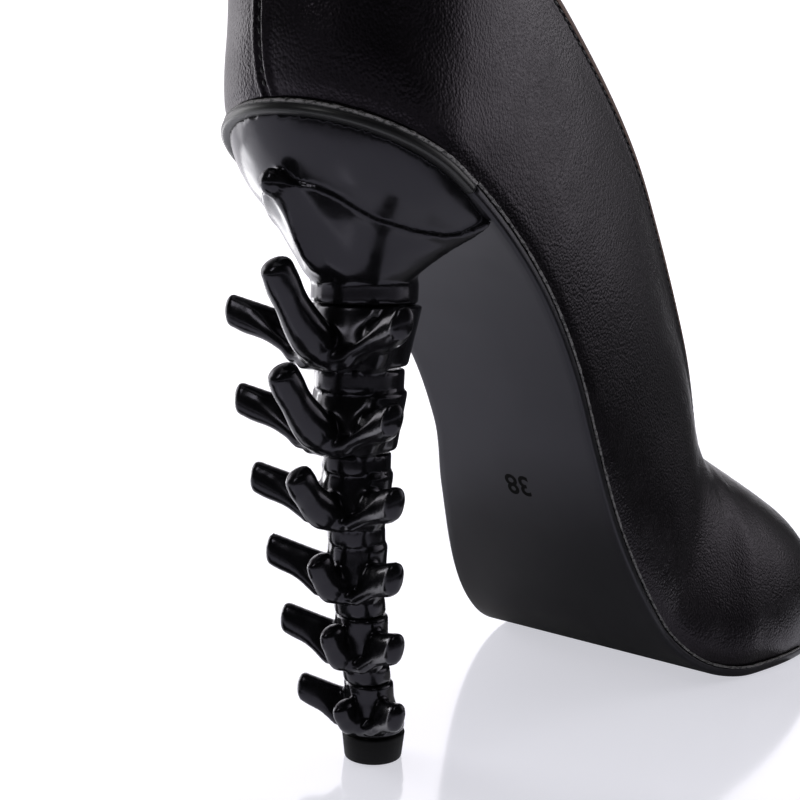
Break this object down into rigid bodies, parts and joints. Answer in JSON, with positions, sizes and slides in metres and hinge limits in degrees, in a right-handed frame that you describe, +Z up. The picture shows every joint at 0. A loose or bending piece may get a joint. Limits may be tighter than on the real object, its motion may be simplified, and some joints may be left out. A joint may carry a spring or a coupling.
{
  "type": "peep-toe pump",
  "caption": "High peep-toe pump with a grained leather upper, satin sole and a glossy moulded heel shaped like a curved spine with horns; worn on one foot, stands on heel tip and tread.",
  "frame": {"origin": "on the floor under the middle of the shoe's bounding box", "axes": "+X to the toe, +Z up, -Y to the inner side of the left foot"},
  "size_m": [0.1966, 0.0762, 0.1827],
  "materials": {
    "upper_leather": "grained black, soft sheen",
    "sole_satin": "smooth satin black",
    "insole_lining": "smooth dark lining",
    "rand_edge": "satin black edge",
    "heel_gloss": "high gloss black",
    "top_piece_rubber": "matt black"
  },
  "bodies": {
    "root": {"upper": "upper_leather", "outsole": "sole_satin", "insole": "insole_lining", "seat_rand": "rand_edge", "heel": "heel_gloss", "top_piece": "top_piece_rubber"}
  },
  "joints": []
}
